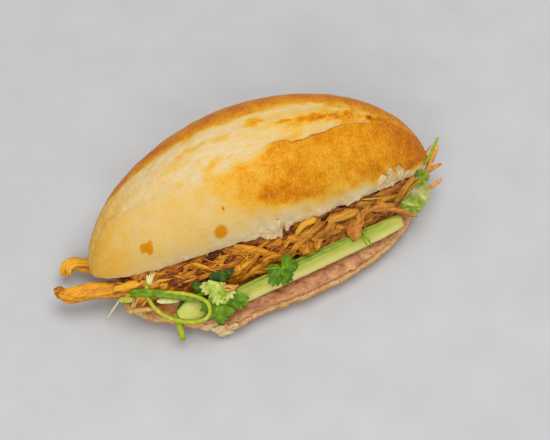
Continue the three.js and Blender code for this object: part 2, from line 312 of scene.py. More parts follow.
def append(master, shape):
    """Moves a shape's mesh into a larger one."""
    mesh = bpy.data.meshes.new("part")
    shape.to_mesh(mesh)
    shape.free()
    master.from_mesh(mesh)
    bpy.data.meshes.remove(mesh)


def finish_piece(shape, name, material, stands_for=()):
    """Turns a shape into a finished, smoothly shaded piece that rides on the sandwich."""
    mesh = bpy.data.meshes.new(name)
    bmesh.ops.transform(shape, matrix=INTO_FRAME, verts=shape.verts)
    shape.normal_update()
    shape.to_mesh(mesh)
    shape.free()
    mesh.shade_smooth()
    mesh.materials.append(material)
    piece = bpy.data.objects.new(name, mesh)
    scene.collection.objects.link(piece)
    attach(piece, "root")
    if stands_for:
        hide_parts(*stands_for)


# ---- bread ----

CROWN_LOW, CROWN_HIGH = -114.0, 125.0
CROWN_HALF_WIDTH = 47.0
CROWN_RISE = 48.0
CROWN_BELLY = 18.0
CROWN_FULLNESS = (0.5, 0.52)
CUT_BACK, CUT_HEIGHT, CUT_SLOPE = 14, 32, 0.035  # the middle of the crown's cut face, and its rise along X
CUT_BOW = (6, 10)  # how far the ends of the cut face lie forward and down
TILT = math.radians(27)
TOWARDS_FRONT = Vector((-math.cos(TILT), math.sin(TILT)))
OUT_OF_CUT = Vector((math.sin(TILT), math.cos(TILT)))
HEEL_CUT = 11.5

# Edges of the baker's slash, as degrees round the crown's cross-section along the roll
SLASH_LOW = [
    (-98, 74), (-78, 59), (-58, 50), (-35, 45), (0, 47), (14, 51), (30, 46.5), (42, 48), (67, 55), (90, 58),
    (106, 60),
]
SLASH_HIGH = [
    (-98, 108), (-80, 93), (-59, 86), (-30, 83), (-8, 81), (16, 80), (43, 81), (69, 80), (92, 69), (106, 60),
]
# How far the front is baked where it is pale and where it is browned, from 0 for crumb to 1 for scorched
PALE, BROWNED = 0.34, 0.64
# Lower edge of the browned front, in the same degrees as the slash
BROWN_LOW = [(-50, 60), (-36, 34), (-22, 15), (-8, 6), (8, 1), (20, -3), (50, -6), (90, -8)]
# Larger shreds torn from the lip: place, degrees, length, width, turn and how far the end lifts
TORN_FLAKES = [
    (4, -19, 16, 12, 3.3, 1.6), (-5, -19, 11, 7, 2.7, 1.6), (12, -19, 9, 6, 3.8, 1.4),
    (79, -8, 11, 6.0, 0.9, 1.5), (85, -4, 13, 6.4, 0.45, 2.0), (94, -4, 12, 6.4, -0.2, 2.4),
    (99, -11, 8, 4.0, 1.0, 1.4), (58, -19, 11, 3.6, 4.4, 1.2),
]
# Crumb torn up along the heel's front edge: place, length, width and turn
HEEL_FLAKES = [
    ((-53, -53, 10.5), 11, 6, 1.2), ((-47.5, -57, 10), 12, 7, 1.7), ((-41, -57.5, 9.5), 11, 6, 1.3),
    ((-36, -55, 9), 9, 5, 0.7), ((-45, -58.5, 6), 10, 5, 1.5),
]
# Small scorched nicks in the crust: place and degrees
SCORCHES = [(-27, 16)]
# Drops of sauce on the crust: place, degrees, reach and how square they are
STAINS = [(-78, 12, 3.9, 4.0), (-76.5, 6, 2.2, 2.0), (-32, -2, 4.2, 2.0)]


def crown_section(x):
    """The crown's share of its full width at x, and the middle of its cut face there."""
    u = min(max((2 * x - CROWN_LOW - CROWN_HIGH) / (CROWN_HIGH - CROWN_LOW), -1.0), 1.0)
    share = (1 - u * u) ** CROWN_FULLNESS[0 if u < 0 else 1]
    centre = Vector((CUT_BACK - CUT_BOW[0] * u * u, CUT_HEIGHT + CUT_SLOPE * x - CUT_BOW[1] * u * u))
    return max(share, 0.02), centre


def crown_polar(point):
    """A point's degrees round the crown's cross-section, its distance out of the cut face and its reach."""
    share, centre = crown_section(point.x)
    offset = Vector((point.y, point.z)) - centre
    across = offset.dot(TOWARDS_FRONT)
    up = offset.dot(OUT_OF_CUT)
    a, b = across / CROWN_HALF_WIDTH, (up - CROWN_BELLY * share) / CROWN_RISE
    return math.degrees(math.atan2(b, a)), up, math.hypot(a, b) / share


def crown_spot(x, angle):
    """The place on the crown's crust at some degrees round its cross-section."""
    share, centre = crown_section(x)
    turn = math.radians(angle)
    spot = centre + TOWARDS_FRONT * CROWN_HALF_WIDTH * share * math.cos(turn)
    spot += OUT_OF_CUT * share * (CROWN_BELLY + CROWN_RISE * math.sin(turn))
    return Vector((x, spot.x, spot.y))


def plain_slash(x, angle):
    """Relief of the slash that the solid already has."""
    along = smooth_step(x - CROWN_LOW, 12, 34) * smooth_step(CROWN_HIGH - x, 20, 44)
    across = (angle - 58) / 15
    groove = -2.0 * math.exp(-(across**4))
    return along * (groove + 1.8 * math.exp(-(((across + 1.2) / 0.3) ** 2)))


def bread():
    shape = even_skin("bread_roll", 1.15)
    relax(shape, 9)
    shape.normal_update()
    layers = shape.verts.layers.float
    for look in CRUST_LOOKS:
        layers.new(look)
    bake_layer, crumb_layer, torn_layer, stain_layer = (layers[look] for look in CRUST_LOOKS)
    moves = []
    for vert in shape.verts:
        p = vert.co.copy()
        angle, up, reach = crown_polar(p)
        bake = crumb = open_skin = stain = rise = 0.0
        if up > 0.3 and reach > 0.75:
            if angle < -90:
                angle += 360
            low, high = between(SLASH_LOW, p.x), between(SLASH_HIGH, p.x)
            wander = 2.2 * lumps(p, 9, 2, 3.0)
            v = (angle + wander - low) / max(high - low, 1.0)
            width = smooth_step(high - low, 3, 14)
            crisp = smooth_step(p.x, 6, 20)
            inside = width * smooth_step(v, -0.04 - 0.2 * (1 - crisp), 0.05) * smooth_step(1.14 - v, 0, 0.16)
            groove = -2.5 * inside * math.exp(-((v / 0.38) ** 2)) * mix(0.5, 1.0, crisp)
            ear = 1.9 * width * mix(0.2, 1.0, crisp) * math.exp(-(((v + 0.09) / 0.09) ** 2))
            stretched = Vector((p.x * 0.4, p.y, p.z))
            torn = inside * (0.3 * lumps(p, 3.2, 3, 8.0) + 0.5 * lumps(stretched, 6, 3, 2.0))
            lip_edge = smooth_step(up, 0.3, 10)
            ragged = (1 - lip_edge) * (1.5 * lumps(p, 8, 3, 5.0) + 0.8 * lumps(p, 2.6, 3, 1.0))
            ragged *= mix(0.5, 1.0, smooth_step(p.x, -30, 0))
            rise = groove + ear + torn + ragged - plain_slash(p.x, angle) + 0.7 * lumps(p, 26, 3, 6.0)
            # how far each part is baked
            edge = between(BROWN_LOW, p.x)
            brown = smooth_step(angle + 7 * lumps(p, 12, 3, 4.0), edge - 7, edge + 9)
            brown *= smooth_step(p.x, -46, 2)
            bake = mix(PALE, BROWNED, brown) + 0.03 * brown * smooth_step(p.x, 25, 55)
            bake += 0.15 * smooth_step(-p.x, 78, 108) + 0.17 * smooth_step(p.x, 78, 116)
            bake += mix(0.05, 0.07, brown) * lumps(p, 24, 4, 11.0)
            smudge = math.exp(-(((p.x - 10) / 17) ** 2 + ((angle - 13) / 9) ** 2))
            bake += 0.2 * smudge * (1 + 1.2 * lumps(p, 7, 3, 6.0))
            bake += 0.05 * brown * lumps(Vector((p.x, p.y * 0.4, p.z * 0.4)), 5, 4, 15.0)
            top = smooth_step(angle + wander, high - 3, high + 6)
            rim = mix(0.62, 0.78, smooth_step(angle + wander, high, high + 18))
            bake = mix(bake, mix(rim, 0.68, smooth_step(angle, 120, 165)) + 0.1 * lumps(p, 9, 4, 2.0), top)
            # the slash: pale where it opened last, gold in its middle towards the right
            right = smooth_step(p.x, -18, 36)
            across = lumps(Vector((p.x, p.y * 0.25, p.z * 0.25)), 3.4, 3, 5.0)
            smear = smooth_step(lumps(stretched, 8, 3, 7.0), 0.05, 0.4)
            gold = right * math.exp(-(((v - 0.52) / 0.27) ** 2)) * (0.9 + 0.5 * across)
            opened = mix(0.17, 0.22, right) + 0.26 * gold + 0.26 * smear * smooth_step(p.x, -75, -30)
            opened += 0.22 * smooth_step(p.x, 62, 98) + 0.24 * smooth_step(-p.x, 66, 98)
            bake = mix(bake, opened, inside)
            open_skin = inside
            lip_pale = 1 - smooth_step(angle + 6 * lumps(p, 8, 3, 9.0), -20, 1)
            lip_pale *= 1 - smooth_step(angle, 120, 150)
            bake -= 0.26 * lip_pale * mix(0.3, 1.0, smooth_step(p.x, -70, -25))
            # the skin over the lip puckers where it was pulled open
            near_lip = (1 - smooth_step(angle, -2, 22)) * smooth_step(angle, -40, -24)
            near_lip *= smooth_step(p.x, -30, 15)
            pucker = near_lip * lumps(Vector((p.x + 0.4 * p.z, p.y * 0.25, p.z * 0.25)), 6.5, 3, 21.0)
            rise += 1.5 * pucker
            bake -= 0.16 * pucker
            # a thin darker line along the ear's inner edge: partly its browned crest, partly painted shadow
            # where the ear overhangs the slash
            bake += 0.26 * crisp * width * math.exp(-(((v + 0.02) / 0.035) ** 2))
            for sx, s_angle in SCORCHES:
                bake += 0.7 * math.exp(-(((p.x - sx) / 0.7) ** 2 + ((angle - s_angle) / 2.2) ** 2))
            for sx, s_angle, radius, corners in STAINS:
                a, b = abs(p.x - sx), abs(angle - s_angle) * 0.8 * CROWN_HALF_WIDTH / 57
                away = (a**corners + b**corners) ** (1 / corners) + 0.9 * lumps(p, 3, 2, 4.0)
                stain = max(stain, 1 - smooth_step(away, radius * 0.8, radius * 1.15))
            frayed = up + 2.4 * lumps(p, 5, 3, 2.0)
            crumb = 0.75 * (1 - smooth_step(frayed, 0.5, 4.5)) * (1 - smooth_step(angle, 90, 150))
            crumb *= mix(0.4, 1.0, smooth_step(p.x, -80, -30))
        elif p.z > HEEL_CUT - 1.2 and reach < 1.02:
            crumb = 1.0
            rise = 0.5 * lumps(p, 4, 3, 1.0)
            bake = 0.2
        else:
            # the heel's crust, and the joined back
            edge = smooth_step(p.z, HEEL_CUT - 5, HEEL_CUT - 1)
            front = smooth_step(-p.y, 0, 25)
            bake = mix(0.92, 0.82, smooth_step(p.z, 1, 9)) + 0.15 * lumps(p, 7, 3, 3.0)
            crumb = mix(0.3, 0.75, edge) * front * (0.8 + 0.35 * lumps(p, 5, 3, 5.0))
            if p.z > 0.5:
                rise = front * (lumps(p, 6, 3, 8.0) + 0.5 * lumps(p, 2.2, 2, 4.0))
                rise += 0.4 * lumps(p, 14, 2, 1.0)
        vert[bake_layer] = min(max(bake, 0.02), 1.0)
        vert[crumb_layer] = crumb
        vert[torn_layer] = open_skin
        vert[stain_layer] = stain
        moves.append(rise)
    for vert, rise in zip(shape.verts, moves):
        vert.co += vert.normal * rise
        vert.co.z = max(vert.co.z, 0.0)
    relax(shape, 1)
    finish_piece(shape, "bread", bread_skin, ["bread_roll"])


bread_skin = crust_and_crumb()
bread()


def torn_flake(master, root, around, out, length, width, turn, lift):
    """Adds a thin shred of skin and crumb that starts at its root and lifts off at its far end."""
    flake = bmesh.new()
    bake_layer, crumb_layer = (flake.verts.layers.float.new(look) for look in ("bake", "crumb"))
    bmesh.ops.create_uvsphere(flake, u_segments=22, v_segments=10, radius=1.0)
    ahead = (around * math.cos(turn) + Vector((1, 0, 0)) * math.sin(turn)).normalized()
    side = out.cross(ahead)
    seed = root.x + turn
    for vert in flake.verts:
        u, v, w = vert.co
        coarse = noise.noise(Vector((1.8 * u, 1.8 * v, seed)))
        ragged = 1 + 0.4 * coarse + 0.22 * noise.noise(Vector((5 * u, 5 * v, seed)))
        spot = root + ahead * (u * length / 2 * ragged) + side * (v * width / 2 * ragged)
        fold = 0.2 * width * noise.noise(Vector((1.8 * u, 3.0 * v, seed + 5)))
        hold = 0.9 * (1 - max(u, 0)) * math.hypot(u, v) ** 3
        vert.co = spot + out * (0.1 + lift * max(u, 0) ** 2 + fold - hold + 0.34 * w)
        vert[bake_layer] = 0.14
        vert[crumb_layer] = 0.35 + 0.35 * noise.noise(Vector((3 * u, 3 * v, seed)))
    append(master, flake)


def crown_flake(master, x, angle, *shape):
    """Adds a torn flake whose root lies on the crown's crust."""
    root = crown_spot(x, angle)
    around = (crown_spot(x, angle + 4) - root).normalized()
    torn_flake(master, root, around, Vector((1, 0, 0)).cross(around), *shape)


def torn_crumb():
    """Skin and crumb pulled out along the crown's lip when the roll was opened."""
    shape = bmesh.new()
    for look in ("bake", "crumb"):
        shape.verts.layers.float.new(look)
    for flake in TORN_FLAKES:
        crown_flake(shape, *flake)
    for spot, length, width, turn in HEEL_FLAKES:
        upwards, forwards = Vector((0, -0.4, 0.9)), Vector((0, -0.9, 0.4))
        torn_flake(shape, Vector(spot), upwards, forwards, length, width, turn, 0.8)
    finish_piece(shape, "torn_crumb", bread_skin)


torn_crumb()


# ---- strands, sticks and stems ----

def vectors(places):
    return [Vector(spot) for spot in places]


FIBRE_RIDGES = 6  # along a pulled shred, which has twice as many sides


def rod(sides, steps):
    """A straight rod along Z from 0 to 1, with rings of corners to bend it at."""
    shape = bmesh.new()
    shape.verts.layers.float.new("tone")
    bmesh.ops.create_cone(shape, cap_ends=True, segments=sides, radius1=1, radius2=1, depth=1)
    bmesh.ops.translate(shape, verts=shape.verts, vec=(0, 0, 0.5))
    upright = [e for e in shape.edges if abs(e.verts[0].co.z - e.verts[1].co.z) > 0.5]
    bmesh.ops.subdivide_edges(shape, edges=upright, cuts=steps - 1)
    return shape


def on_path(path, share):
    """Place and direction at a share of the way along a smooth line through the path's places."""
    pace = min(max(share, 0.0), 1.0) * (len(path) - 1)
    i = min(int(pace), len(path) - 2)
    t = pace - i
    b, c = path[i], path[i + 1]
    a = path[i - 1] if i else b * 2 - c
    d = path[i + 2] if i + 2 < len(path) else c * 2 - b
    spot = 0.5 * (2 * b + (c - a) * t + (2 * a - 5 * b + 4 * c - d) * t * t + (3 * b - a - 3 * c + d) * t**3)
    along = 0.5 * ((c - a) + 2 * (2 * a - 5 * b + 4 * c - d) * t + 3 * (3 * b - a - 3 * c + d) * t * t)
    return spot, along.normalized()


def bent_rod(master, pattern, path, width, thickness, up, tone=0.5, taper=0.5, square=False, twist=0.0,
             ends=(0.3, 0.3), ragged=0.0):
    """Adds a copy of the rod pattern, bent along a path: width across, thickness along up. A ragged one
    also gets ridges along its fibres."""
    strand = pattern.copy()
    tone_layer = strand.verts.layers.float["tone"]
    for vert in strand.verts:
        share = vert.co.z
        spot, along = on_path(path, share)
        side = along.cross(up).normalized()
        rise = side.cross(along)
        turn = Matrix.Rotation(twist * share, 3, along)
        end = mix(ends[0], ends[1], share)
        size = end + (1 - end) * max(math.sin(math.pi * share), 0.0) ** taper
        x, y = vert.co.x, vert.co.y
        ridge = 0.0
        if square:
            x, y = math.copysign(abs(x) ** 0.5, x), math.copysign(abs(y) ** 0.5, y)
        if ragged:
            size *= 1 + ragged * lumps(spot + side * x * width, 6.5, 2, width)
            ridge = math.cos(FIBRE_RIDGES * math.atan2(y, x))
            x, y = x * (1 + 0.12 * ridge), y * (1 + 0.4 * ridge)
        vert.co = spot + turn @ (side * x * width / 2 + rise * y * thickness / 2) * size
        vert[tone_layer] = tone + 0.08 * ridge
    append(master, strand)


def new_strands():
    shape = bmesh.new()
    shape.verts.layers.float.new("tone")
    return shape


# ---- pate ----


def coarse_pate():
    """Coarse liver pate, spread with a knife: moist, pinkish brown, with grains of fat and dark meat."""
    material, tree, shader = new_material("coarse_spread_pate", 0.45)
    streaks = grain(tree, 6.0, 6.0, (0.5, 1, 1), 0.7)
    colour = add(tree, "ValToRGB", "Color", [streaks], [
        (0.3, "864a28"), (0.74, "dcaa70"), (0.44, "ac6c42"), (0.58, "c08452"),
    ])
    where = add(tree, "TexCoord", "Object")
    fat = add(tree, "TexVoronoi", "Distance", {"Vector": where, "Scale": per_mm(2.2)})
    fat = add(tree, "MapRange", "Result", [fat, 0.1, 0.22, 0.5, 0.0])
    colour = add(tree, "Mix", MIXED, {SHARE: fat, BASE: colour, OVER: linear("e3bd8c")}, data_type="RGBA")
    thin = add(tree, "Attribute", "Fac", attribute_name="thin")
    colour = add(tree, "Mix", MIXED, {SHARE: thin, BASE: colour, OVER: linear("d6a468")}, data_type="RGBA")
    sauced = add(tree, "Attribute", "Fac", attribute_name="sauced")
    colour = add(tree, "Mix", MIXED, {SHARE: sauced, BASE: colour, OVER: linear("c4761e")}, data_type="RGBA")
    tree.links.new(colour, shader.inputs["Base Color"])
    coarse = grain(tree, 1.4, 4.0)
    relief = add(tree, "Bump", "Normal", {"Height": coarse, "Distance": 0.6 * MM, "Strength": 0.7})
    tree.links.new(relief, shader.inputs["Normal"])
    return material


# The spread's front edge on the lower half: its length and middle along the roll, how far forward its ends
# lie, and how far its belly stands before them
PATE_LENGTH, PATE_MIDDLE = 202.0, -2.5
PATE_ENDS, PATE_BELLY = -11.0, 43.0


def pate():
    """The spread, lumpy in front, thinner towards its front edge and stained with sauce at the left."""
    shape = even_skin("pate_spread", 0.9)
    relax(shape, 3)
    shape.normal_update()
    for layer in ("thin", "sauced"):
        shape.verts.layers.float.new(layer)
    thin_layer, sauced_layer = (shape.verts.layers.float[name] for name in ("thin", "sauced"))
    for vert in shape.verts:
        p = vert.co.copy()
        front = smooth_step(-p.y, 10, 35)
        u = min(max(2 * (p.x - PATE_MIDDLE) / PATE_LENGTH, -1.0), 1.0)
        inward = p.y - PATE_ENDS + PATE_BELLY * math.sqrt(1 - u * u)
        thin = smooth_step(1 - inward / 16 + 1.2 * lumps(p, 7, 3, 2.0), 0.7, 1.5)
        vert[thin_layer] = 0.8 * thin * smooth_step(p.x, -10, 50)
        vert[sauced_layer] = smooth_step(-p.x + 6 * lumps(p, 6, 3, 9.0), 62, 80) * 0.85
        rise = front * (1.3 * lumps(p, 7, 3, 3.0) + 0.7 * lumps(p, 2.6, 2, 6.0)) - 0.2
        vert.co += vert.normal * rise
        vert.co.z = max(vert.co.z, HEEL_CUT + 0.2)
    finish_piece(shape, "pate", coarse_pate(), ["pate_spread"])


pate()


# ---- cucumber ----


def cut_cucumber():
    """Cucumber cut with a knife: wet, slightly clear flesh, palest at the seeds and greener
    towards the thin dark skin, and greener too where painted shade falls under the chicken."""
    material, tree, shader = new_material(
        "cut_cucumber", 0.32, Subsurface_Weight=0.2, Subsurface_Scale=0.004, Specular_IOR_Level=0.35
    )
    shader.inputs["Subsurface Radius"].default_value = (1.0, 1.0, 0.4)
    rind = add(tree, "Attribute", "Fac", attribute_name="rind")
    wavy = add(tree, "MapRange", "Result", [grain(tree, 3.0, 3.0, (0.3, 1, 1)), 0.3, 0.7, -0.07, 0.07])
    depth = add(tree, "Math", "Value", [rind, wavy], operation="ADD")
    flesh = add(tree, "ValToRGB", "Color", [depth], [
        (0.0, "ded783"), (1.0, "2f560c"), (0.35, "cfc968"), (0.62, "b0b545"), (0.8, "8c9a2b"),
        (0.9, "557a14"),
    ])
    tree.links.new(flesh, shader.inputs["Base Color"])
    threads = grain(tree, 1.5, 3.0, (0.35, 1, 1))
    relief = add(tree, "Bump", "Normal", {"Height": threads, "Distance": 0.3 * MM, "Strength": 0.5})
    tree.links.new(relief, shader.inputs["Normal"])
    return material


def cucumber(node, name, material, rind_at):
    """A cut piece of cucumber; the given function says how near its skin each place lies, from 0 to 1, and on
    the spear it also paints shade under the chicken.
    """
    shape = even_skin(node, 0.75)
    relax(shape, 3)
    shape.normal_update()
    rind_layer = shape.verts.layers.float.new("rind")
    for vert in shape.verts:
        vert[rind_layer] = rind_at(vert.co)
        vert.co += vert.normal * 0.25 * lumps(vert.co, 6, 2, 4.0)
    finish_piece(shape, name, material, [node])


# The spear is greener towards its top: the thin band at the very top is its skin, while the broad band below
# is partly greener flesh near the skin and partly painted shade under the chicken.
def spear_rind(p):
    return 0.12 + 0.5 * smooth_step(p.z, 22, 29.5) + 0.22 * smooth_step(p.z, 29.2, 30.4)


# The slanting piece's middle, and the ways towards its skin and out of its cut top
SLICE_MIDDLE = Vector((-60, -41, 20.6))
SLICE_SKIN, SLICE_TOP = Vector((-0.45, 0.85, 0.28)), Vector((0.07, -0.46, 0.88))


def slice_rind(p):
    away = p - SLICE_MIDDLE
    out = away.dot(SLICE_SKIN)
    under = smooth_step(-away.dot(SLICE_TOP), -1.2, 1.0)
    return 0.42 + 0.15 * smooth_step(away.length, 4, 10) + 0.5 * max(smooth_step(out, 4.6, 7.4), under * 0.8)


cucumber_flesh = cut_cucumber()
cucumber("cucumber_long", "cucumber_spear", cucumber_flesh, spear_rind)
cucumber("cucumber_short", "cucumber_slice", cucumber_flesh, slice_rind)


# ---- chicken ----

HEAP_LOW, HEAP_HIGH = -101.0, 100.0
# Layers of shreds from the inside out: how many, how far out, how light, and from how wide to how wide
SHRED_LAYERS = [(90, -1.3, 0.2, (3.4, 7.5)), (88, 0.0, 0.45, (2.4, 7.0)), (50, 1.4, 0.62, (1.8, 6.5))]
# The middles of the two strips that stick out at the left, from their tips inwards
UPPER_PRONG = [(-127, 18, 8), (-126, 21.5, 11), (-120, 23, 11.5), (-111, 19, 10), (-101, 9, 14), (-92, 0, 20)]
LOWER_PRONG = [(-137, 5, 15.5), (-129, -2.5, 16.5), (-112, -7.5, 18.5), (-94, -12, 20), (-80, -14, 22)]
# Flakes that hang over the cucumber's top edge: width and path
HANGING_FLAKES = [
    (13.0, [(61, -21, 40), (57, -26.5, 37.5), (54, -32.5, 34.5), (51.5, -38.5, 30.5)]),
    (7.5, [(74, -22, 39), (64, -25, 38.5), (54, -30, 36.5)]),
    (6.5, [(60, -22, 40), (57, -29, 37), (54, -34, 33.5)]),
    (6.0, [(23, -24, 37), (21, -31, 34.5), (17, -36.5, 31)]),
    (6.0, [(34, -25, 38), (30, -31, 35.5), (26, -37, 31.5)]),
    (6.5, [(70, -24, 39), (78, -26, 37), (88, -26, 34)]),
    (6.5, [(62, -20, 41), (72, -22, 40), (84, -22, 38)]),
    (6.5, [(-8, -25, 36), (0, -31, 33), (8, -37, 31)]),
    (3.2, [(80, -27, 36.5), (88, -30, 34.5), (95, -34, 31), (99, -36, 28.5)]),
]
# How many broad flakes and thin fibres lie over the layers
WIDE_FLAKES, THIN_FIBRES = 26, 130


def sauced_chicken():
    """Pulled chicken in a sweet sauce: long moist fibres, amber where thin and dark where the sauce pools."""
    material, tree, shader = new_material(
        "pulled_chicken_in_sauce", 0.42, Subsurface_Weight=0.12, Subsurface_Scale=0.002,
        Specular_IOR_Level=0.25,
    )
    shader.inputs["Subsurface Radius"].default_value = (1.0, 0.45, 0.15)
    fibres = grain(tree, 1.5, 5.0, (0.2, 1, 1), 0.68)
    tone = add(tree, "Attribute", "Fac", attribute_name="tone")
    lighter = add(tree, "MapRange", "Result", [fibres, 0.32, 0.68, -0.27, 0.27])
    pooled = add(tree, "MapRange", "Result", [grain(tree, 9.0), 0.3, 0.7, -0.12, 0.12])
    tone = add(tree, "Math", "Value", [tone, lighter], operation="ADD")
    tone = add(tree, "Math", "Value", [tone, pooled], operation="ADD")
    colour = add(tree, "ValToRGB", "Color", [tone], [
        (0.0, "451804"), (1.0, "efb02c"), (0.2, "853d0a"), (0.42, "b86614"), (0.62, "d28620"),
        (0.8, "e79e1c"),
    ])
    where = add(tree, "TexCoord", "Object")
    along = add(tree, "SeparateXYZ", "X", [where])
    leaner = add(tree, "MapRange", "Result", [along, 5 * MM, 45 * MM, 0.0, 0.3])
    colour = add(tree, "Mix", MIXED, {SHARE: leaner, BASE: colour, OVER: linear("94603c")}, data_type="RGBA")
    tree.links.new(colour, shader.inputs["Base Color"])
    relief = add(tree, "Bump", "Normal", {"Height": fibres, "Distance": 0.9 * MM, "Strength": 0.8})
    tree.links.new(relief, shader.inputs["Normal"])
    return material


def chicken_core():
    """The middle of the heap, a little smaller than the heap itself, coloured very dark where it shows
    between the shreds as painted shade, and lighter at its left end.
    """
    shape = even_skin("shredded_chicken", 1.3)
    relax(shape, 2)
    shape.normal_update()
    tone_layer = shape.verts.layers.float.new("tone")
    for vert in shape.verts:
        p = vert.co.copy()
        streaked = Vector((p.x * 0.25, p.y, p.z))
        # very dark tone: painted shade in the gaps between the shreds; lighter at the left end, where the
        # core shows as meat
        vert[tone_layer] = 0.04 + 0.2 * lumps(streaked, 3, 2, 2.0) + 0.7 * smooth_step(-p.x, 96, 108)
        depth = mix(2.0, 0.9, smooth_step(-p.x, 96, 106))
        vert.co += vert.normal * (1.1 * lumps(streaked, 3.2, 3, 9.0) - depth)
    return shape


def pulled_strands(heap):
    """Long shreds that lie over the heap's open sides, mostly along the roll, in crossing layers."""
    rng = random.Random(41)
    shreds = new_strands()
    shred, fibre = rod(2 * FIBRE_RIDGES, 5), rod(4, 6)
    surface = BVHTree.FromBMesh(heap)

    def face_point(x, height):
        """Place and outward direction on the heap's front, 0 at its foot and 1 under the lip."""
        target = Vector((x, -30, mix(15, 46, height)))
        push = Vector((0, 0.86, -0.5))
        spot, normal, _, _ = surface.ray_cast(target - push * 60, push)
        return (spot, normal) if spot else (None, None)

    def shred_path(x, height, length, slope, lift, bow):
        """A path over the heap's front about a middle place, and the way out of the heap along it."""
        path, ups = [], []
        for i in range(6):
            share = i / 5
            at_x = min(max(x + length * (share - 0.5), HEAP_LOW + 1), HEAP_HIGH - 1)
            h = height + slope * length / 30 * (share - 0.5) + bow * math.sin(math.pi * share)
            spot, normal = face_point(at_x, h)
            if spot is None:
                continue
            dip = lift + 1.1 * math.sin(math.pi * share) - 0.7
            on_heap = Vector((x + length * (share - 0.5), spot.y, spot.z))
            path.append(on_heap + normal * (dip + rng.uniform(-0.3, 0.3)))
            ups.append(normal)
        if len(path) < 3:
            return None, None
        return path, sum(ups, Vector()).normalized()

    for count, lift, tone, widths in SHRED_LAYERS:
        for _ in range(count):
            x = rng.uniform(HEAP_LOW + 2, HEAP_HIGH - 1)
            length = rng.uniform(11, 34)
            slope = rng.gauss(0.08, 0.44)
            path, up = shred_path(
                x, rng.uniform(0.05, 1.2), length, slope, lift + rng.uniform(-0.5, 0.6), rng.gauss(0, 0.12)
            )
            if path is None:
                continue
            width = rng.uniform(*widths)
            saucy = 0.08 + 0.26 * smooth_step(-x, 60, 92)
            bent_rod(
                shreds, shred, path, width, min(width * rng.uniform(0.3, 0.5), 2.2), up,
                tone + saucy + rng.gauss(0, 0.21), 0.4, twist=rng.uniform(-1.4, 1.4),
                ends=(rng.uniform(0.05, 0.6), rng.uniform(0.05, 0.6)), ragged=0.6,
            )
    for _ in range(WIDE_FLAKES):
        x, slope = rng.uniform(HEAP_LOW + 8, HEAP_HIGH - 6), rng.gauss(0.2, 0.5)
        path, up = shred_path(x, rng.uniform(0.2, 1.0), rng.uniform(9, 16), slope, 1.3, rng.gauss(0, 0.1))
        if path is None:
            continue
        bent_rod(
            shreds, shred, path, rng.uniform(7, 11), 1.5, up, rng.uniform(0.4, 0.75), 0.45,
            twist=rng.uniform(-0.8, 0.8), ends=(rng.uniform(0.05, 0.6), rng.uniform(0.05, 0.6)), ragged=0.8,
        )
    for width, path in HANGING_FLAKES:
        bent_rod(
            shreds, shred, vectors(path), width, min(2.0, 0.4 * width), UP_FRONT, 0.6, 0.35, twist=0.7,
            ends=(0.7, 0.05), ragged=0.7,
        )
    for _ in range(THIN_FIBRES):
        x = rng.uniform(HEAP_LOW + 6, HEAP_HIGH - 4)
        path, up = shred_path(
            x, rng.uniform(0.1, 1.1), rng.uniform(5, 16), rng.gauss(0, 1.0), 1.0, rng.gauss(0, 0.1)
        )
        if path is None:
            continue
        path[-1] += up * rng.uniform(0, 1.6)
        bent_rod(shreds, fibre, path, 0.8, 0.6, up, rng.uniform(0.7, 1.0), 0.4)
    return shreds


def bundle(shreds, shred, centre, reach, count, tone, seed):
    """Shreds that run together along a line and part a little at its end."""
    rng = random.Random(seed)
    line = [Vector(spot) for spot in centre]
    for _ in range(count):
        angle = rng.uniform(0, 2 * math.pi)
        spread = reach * math.sqrt(rng.uniform(0.1, 1))
        start, end = rng.choice((0.0, 0.03, 0.07, 0.12, 0.3)), rng.uniform(0.7, 1.0)
        path = []
        for i in range(7):
            share = mix(start, end, i / 6)
            spot, along = on_path(line, share)
            side = along.cross(Vector((0, 0, 1))).normalized()
            swell = 0.8 + 0.35 * math.sin(5 * share + seed + angle)
            around = side * math.cos(angle) + side.cross(along) * math.sin(angle) * 0.6
            path.append(spot + around * spread * swell)
        bent_rod(
            shreds, shred, path, rng.uniform(2.2, 4.8), rng.uniform(1.4, 2.8), Vector((0, 0, 1)),
            tone + rng.gauss(0, 0.12), 0.35, twist=rng.uniform(-1.2, 1.2), ends=(0.45, 0.5), ragged=0.8,
        )


def chicken():
    heap = merged_copy("shredded_chicken")
    shreds = pulled_strands(heap)
    heap.free()
    shred = rod(2 * FIBRE_RIDGES, 8)
    # the upper prong's tone is set well above the lower prong's: painted light that offsets the shade under
    # the crown
    bundle(shreds, shred, UPPER_PRONG, 4.6, 20, 1.12, 5)
    bundle(shreds, shred, LOWER_PRONG, 5.0, 24, 0.7, 9)
    knob = vectors([(-137, 7, 17), (-136.5, 2.5, 16.5), (-132, -1, 17.5)])
    bent_rod(shreds, shred, knob, 6.0, 4.0, UP_FRONT, 0.45, 0.2, twist=0.6, ends=(0.8, 0.4), ragged=0.8)
    meat = sauced_chicken()
    finish_piece(chicken_core(), "chicken_heap", meat, ["shredded_chicken"])
    finish_piece(shreds, "chicken_shreds", meat)


chicken()


# ---- pickles ----


def pickled(name, low, middle, high):
    """Root cut into sticks and pickled: wet and slightly clear."""
    material, tree, shader = new_material(name, 0.35, Subsurface_Weight=0.1, Subsurface_Scale=0.002)
    colour = add(tree, "ValToRGB", "Color", [grain(tree, 3.0, 4.0)], [(0.3, low), (0.7, high), (0.5, middle)])
    tree.links.new(colour, shader.inputs["Base Color"])
    pores = grain(tree, 1.2, 2.0)
    relief = add(tree, "Bump", "Normal", {"Height": pores, "Distance": 0.2 * MM, "Strength": 0.4})
    tree.links.new(relief, shader.inputs["Normal"])
    return material


